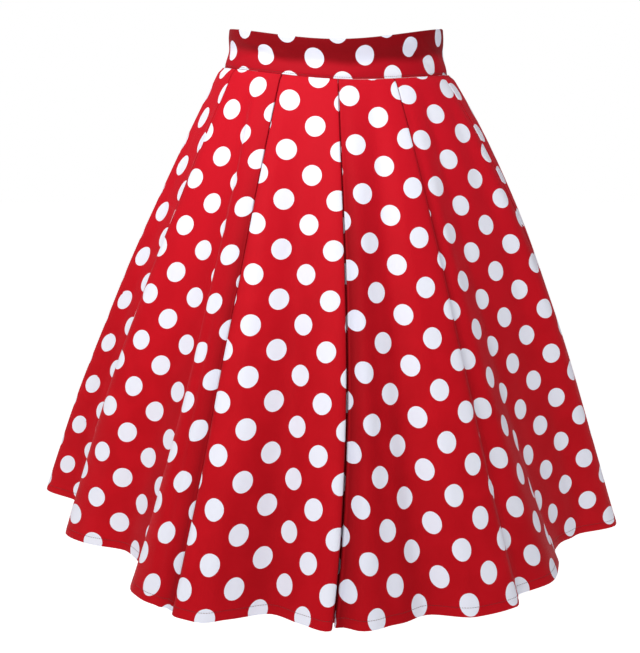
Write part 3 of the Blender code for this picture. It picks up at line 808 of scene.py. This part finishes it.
def stitch_row(path, out, gap):
    """Stitches along a path: each is a bead of four-sided rings whose middle follows the
    path by its length and rises from the cloth in a low arch."""
    step = np.linalg.norm(np.diff(path, axis=0), axis=1)
    run = np.concatenate([[0], np.cumsum(step)])
    count = int((run[-1] - 2 * gap) / STITCH_PITCH)
    start = gap + STITCH_PITCH * np.arange(count)
    k = np.array([0.0, 0.2, 0.5, 0.8, 1.0])
    at = start[:, None] + STITCH_LONG * k
    centre = np.stack([np.interp(at, run, path[:, i]) for i in range(3)], -1)
    normal = np.stack([np.interp(at, run, out[:, i]) for i in range(3)], -1)
    normal /= np.linalg.norm(normal, axis=-1, keepdims=True)
    along_path = np.gradient(centre, axis=1)
    along_path /= np.linalg.norm(along_path, axis=-1, keepdims=True)
    side = np.cross(along_path, normal)
    arch = np.array([-0.10, 0.10, 0.16, 0.10, -0.10]) * 0.001
    size = STITCH_RADIUS * np.array([0.45, 0.95, 1.0, 0.95, 0.45])
    turn = np.arange(4) * np.pi / 2 + np.pi / 4
    ring = (
        (centre + normal * arch[None, :, None])[:, :, None]
        + side[:, :, None] * (size[None, :, None] * np.cos(turn))[..., None]
        + normal[:, :, None] * (size[None, :, None] * np.sin(turn))[..., None]
    )
    verts = ring.reshape(-1, 3)
    base = np.arange(20).reshape(5, 4)
    nxt = np.roll(base, -1, axis=1)
    quads = np.stack([base[:-1], nxt[:-1], nxt[1:], base[1:]], -1).reshape(-1, 4)
    faces = np.concatenate([quads, [base[0][::-1]], [base[-1]]])
    return verts, (faces[None] + 20 * np.arange(count)[:, None, None]).reshape(-1, 4)


def thread(name, colour):
    """Twisted sewing cotton: fine slanting ridges on a plain colour."""
    recipe = Recipe(name)
    body = recipe.node("ShaderNodeTexCoord").outputs["Object"]
    x, y, z = recipe.split(body)
    twist = ((x + y + z) * (TAU / 0.0006)).called("SINE")
    cloudy = recipe.noise(body, 300.0)
    return recipe.finish(
        Base_Color=recipe.mix(cloudy, colour, tuple(0.7 * c for c in colour[:3]) + (1,)),
        Roughness=0.55 + cloudy * 0.1,
        Normal=recipe.bump(twist, 0.00006, 0.5),
        Sheen_Weight=0.1,
    )


def stitching(name, rows, mat):
    """One piece from several rows of stitches."""
    verts, faces, count = [], [], 0
    for v, f in rows:
        verts.append(v)
        faces.append(f + count)
        count += len(v)
    obj = add_piece(name, np.concatenate(verts), np.concatenate(faces), mat)
    return obj


def hem_row(outer):
    """Row of stitches on the cloth's outer face at the hem's stitching height."""
    rows = cloth_rows()
    drop = abs(hem_height(0.0) - seam_height(0.0))
    k = int(np.argmin(abs((1 - rows) * drop - STITCH_ABOVE_HEM)))
    path = outer[k]
    run = np.gradient(path, axis=0)
    down = outer[k + 1] - outer[k - 1]
    out = np.cross(down, run)
    out /= np.linalg.norm(out, axis=1)[:, None]
    return stitch_row(path, out, 0.001)


def band_row(outer):
    """Row of stitches on the band's outer face just above its lower edge."""
    path = outer[-4]
    run = np.gradient(path, axis=0)
    down = outer[-3] - outer[-5]
    out = np.cross(down, run)
    out /= np.linalg.norm(out, axis=1)[:, None]
    return stitch_row(path, out, 0.001)


sewing_cotton = thread("sewing_cotton", (0.150, 0.006, 0.010, 1))
hem_rows = [hem_row(outer) for outer in (front_outer, right_outer, left_outer)]
hem_thread = stitching("hem_stitching", hem_rows, sewing_cotton)
band_rows = [band_row(outer) for outer in (band_front_outer, band_right_outer, band_left_outer)]
band_thread = stitching("band_stitching", band_rows, sewing_cotton)


# Zip
# A concealed zip: a woven tape sewn behind the centre-back opening, its coil hidden on the
# inside, and a lacquered slider whose hinged pull tab hangs on the band.
TAPE_HALF = 0.0120
TAPE_WALL = 0.0010
ZIP_LENGTH_BELOW = 0.150   # below the waist seam
CAD_CLOTH, CAD_BAND = 0.0012, 0.0020        # walls of the solids that the tape lies behind


def tape_line():
    """Middle of the tape from the band's top down behind the centre-back seam."""
    clear = SEAM_GAP + TAPE_WALL / 2
    band_t = np.array([0.08, 0.5, 1.0])
    band_y = np.array([band_radius(np.pi, t) for t in band_t]) - CAD_BAND / 2 - clear
    band_z = band_top_height(np.pi) + (seam_height(np.pi) - band_top_height(np.pi)) * band_t
    drop = seam_height(np.pi) - hem_height(np.pi)
    depths = np.linspace(0.10, 1.0, 6) * ZIP_LENGTH_BELOW / drop
    cloth_y = [cloth_radius(s, np.array([np.pi]))[0] - CAD_CLOTH / 2 - clear - 0.0004 for s in depths]
    cloth_z = seam_height(np.pi) - drop * depths
    return np.concatenate([band_y, cloth_y]), np.concatenate([band_z, cloth_z])


def tape_piece(mat):
    """Tape as a wall on a grid: the line read finely, a little hollow across, with the
    two rows of sewing pressed in near its edges."""
    y, z = tape_line()
    fine = np.linspace(z[0], z[-1], 90)
    line = np.interp(fine, z[::-1], y[::-1])
    x = np.linspace(TAPE_HALF, -TAPE_HALF, 33)
    press = 0.00018 * np.exp(-(((abs(x) - 0.0095) / 0.0005) ** 2))
    outer = np.zeros((90, 33, 3))
    outer[..., 0] = x
    outer[..., 1] = line[:, None] + TAPE_WALL / 2 - 4.5 * x ** 2 - press
    outer[..., 2] = fine[:, None]
    inner = outer - np.array([0, TAPE_WALL - 0.0001, 0])
    obj = add_piece("zip_tape_cloth", np.concatenate([outer, inner]), shell_faces(90, 33), mat)
    return obj, line, fine


def tape_weave(name):
    """Herringbone tape: slanting ribs that change their lean every 3 mm across."""
    recipe = Recipe(name)
    body = recipe.node("ShaderNodeTexCoord").outputs["Object"]
    x, y, z = recipe.split(body)
    fold = (x * (1 / 0.003)).called("FRACT")
    lean = (fold - 0.5).called("ABSOLUTE") * 0.003
    rib = ((z + lean) * (TAU / 0.0007)).called("SINE")
    cloudy = recipe.noise(body, 160.0)
    return recipe.finish(
        Base_Color=recipe.mix(rib * 0.25 + cloudy * 0.5, (0.40, 0.008, 0.018, 1), (0.52, 0.014, 0.028, 1)),
        Roughness=0.68 + cloudy * 0.12,
        Normal=recipe.bump(rib + cloudy, 0.00012, 0.7),
        Sheen_Weight=0.08,
    )


def coil_piece(line, fine, mat):
    """Zip coil: a flattened spiral down the inside of the tape, y and x following a
    half-ellipse for each turn of 1.1 mm, as a six-sided tube."""
    turns = int((fine[0] - fine[-1] - 0.012) / 0.0011)
    t = np.linspace(0, turns, turns * 10 + 1)
    z = fine[0] - 0.008 - 0.0011 * t
    behind = np.interp(z, fine[::-1], line[::-1]) - TAPE_WALL / 2 - 0.00115
    x = 0.0021 * np.cos(TAU * t)
    y = behind + 0.00065 * np.sin(TAU * t)
    path = np.stack([x, y, z], -1)
    run = np.gradient(path, axis=0)
    run /= np.linalg.norm(run, axis=1)[:, None]
    side = np.cross(run, np.array([0, 0, 1.0]))
    side /= np.linalg.norm(side, axis=1)[:, None]
    up = np.cross(side, run)
    turn = np.arange(6) * TAU / 6
    round_it = side[:, None] * np.cos(turn)[None, :, None] + up[:, None] * np.sin(turn)[None, :, None]
    ring = path[:, None] + 0.00032 * round_it
    at = np.arange(len(path) * 6).reshape(-1, 6)
    nxt = np.roll(at, -1, axis=1)
    quads = np.stack([at[:-1], nxt[:-1], nxt[1:], at[1:]], -1).reshape(-1, 4).tolist()
    quads += [at[0][::-1].tolist(), at[-1].tolist()]
    mesh = bpy.data.meshes.new("zip_coil")
    mesh.from_pydata(ring.reshape(-1, 3).tolist(), [], quads)
    mesh.materials.append(mat)
    mesh.polygons.foreach_set("use_smooth", np.ones(len(mesh.polygons), bool))
    obj = bpy.data.objects.new("zip_coil", mesh)
    bpy.context.scene.collection.objects.link(obj)
    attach(obj, "garment")
    return obj


def nylon(name):
    """Smooth red nylon with the faintest streaks."""
    recipe = Recipe(name)
    body = recipe.node("ShaderNodeTexCoord").outputs["Object"]
    streak = recipe.noise(body, 700.0)
    return recipe.finish(
        Base_Color=recipe.mix(streak, (0.44, 0.010, 0.020, 1), (0.54, 0.014, 0.028, 1)),
        Roughness=0.30 + streak * 0.15,
    )


def lacquer(name):
    """Red lacquer on cast metal: worn thin in scattered patches into warmer, shinier metal."""
    recipe = Recipe(name)
    body = recipe.node("ShaderNodeTexCoord").outputs["Object"]
    cloudy = recipe.noise(body, 420.0, 3.0)
    worn = cloudy.step(0.62, 0.78)
    return recipe.finish(
        Base_Color=recipe.mix(worn, (0.46, 0.010, 0.022, 1), (0.55, 0.16, 0.14, 1)),
        Roughness=0.28 + cloudy * 0.16,
        Metallic=0.35 + worn * 0.5,
        Normal=recipe.bump(cloudy, 0.00006, 0.5),
        Coat_Roughness=0.15,
    )


tape, tape_y, tape_z = tape_piece(tape_weave("tape_weave"))
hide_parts("zip_tape")
coil = coil_piece(tape_y, tape_z, nylon("zip_nylon"))
painted = lacquer("zip_lacquer")
for part in ("zip_slider", "zip_pull"):
    nodes[part].data.materials.clear()
    nodes[part].data.materials.append(painted)


# Studio
# A plain pale floor well below the hem, as if the skirt were worn, soft light from the
# upper left in front, and the camera of the photograph.
def floor_piece():
    """Flat square of the pale floor."""
    mesh = bpy.data.meshes.new("floor")
    half, level = 14.0, -1.05
    corners = [(-half, -half, level), (half, -half, level), (half, half, level), (-half, half, level)]
    mesh.from_pydata(corners, [], [(0, 1, 2, 3)])
    recipe = Recipe("floor_paint")
    body = recipe.node("ShaderNodeTexCoord").outputs["Object"]
    cloudy = recipe.noise(body, 1.5)
    mesh.materials.append(recipe.finish(
        Base_Color=recipe.mix(cloudy, (0.86, 0.86, 0.865, 1), (0.90, 0.90, 0.90, 1)),
        Roughness=0.85 + cloudy * 0.05,
        Emission_Color=(1.0, 1.0, 1.0, 1),
        Emission_Strength=0.90,
    ))
    obj = bpy.data.objects.new("floor", mesh)
    bpy.context.scene.collection.objects.link(obj)
    return obj


def area_light(name, place, target, wide, high, watts, colour):
    """Soft box at a place, facing a target."""
    data = bpy.data.lights.new(name, "AREA")
    data.shape = "RECTANGLE"
    data.size, data.size_y = wide, high
    data.energy = watts
    data.color = colour
    obj = bpy.data.objects.new(name, data)
    bpy.context.scene.collection.objects.link(obj)
    obj.location = place
    obj.rotation_euler = (Vector(target) - Vector(place)).to_track_quat("-Z", "Y").to_euler()
    return obj


floor_piece()
area_light("softbox_over", (-0.52, -0.70, 0.95), (0.0, -0.05, -0.25), 1.2, 1.2, 22.5, (1.0, 0.985, 0.98))
area_light("softbox_right", (0.90, -1.30, 0.30), (0.15, 0.0, -0.25), 1.0, 1.0, 4.6, (0.95, 0.97, 1.0))
world = bpy.data.worlds.new("studio")
world.use_nodes = True
sky = world.node_tree
ambient = sky.nodes["Background"]
ambient.inputs["Color"].default_value = (1.0, 1.0, 1.0, 1)
ambient.inputs["Strength"].default_value = 0.12
backdrop = sky.nodes.new("ShaderNodeBackground")
backdrop.inputs["Color"].default_value = (1.0, 1.0, 1.0, 1)
seen = sky.nodes.new("ShaderNodeLightPath")
either = sky.nodes.new("ShaderNodeMixShader")
sky.links.new(seen.outputs["Is Camera Ray"], either.inputs[0])
sky.links.new(ambient.outputs[0], either.inputs[1])
sky.links.new(backdrop.outputs[0], either.inputs[2])
sky.links.new(either.outputs[0], sky.nodes["World Output"].inputs[0])
bpy.context.scene.world = world
bpy.context.scene.view_settings.view_transform = "Standard"
bpy.context.scene.view_settings.look = "None"

PHOTO_LENS = 65.05         # on the long side of a 36 mm frame
camera_data = bpy.data.cameras.new("camera")
camera_data.lens = PHOTO_LENS
camera_data.sensor_width = 36.0
camera_data.clip_start = 0.05
camera = bpy.data.objects.new("camera", camera_data)
bpy.context.scene.collection.objects.link(camera)
camera.location = (-0.0201, -1.5232, -0.0915)
camera.rotation_euler = (math.radians(90 - 9.5), 0.0, 0.0)
bpy.context.scene.camera = camera
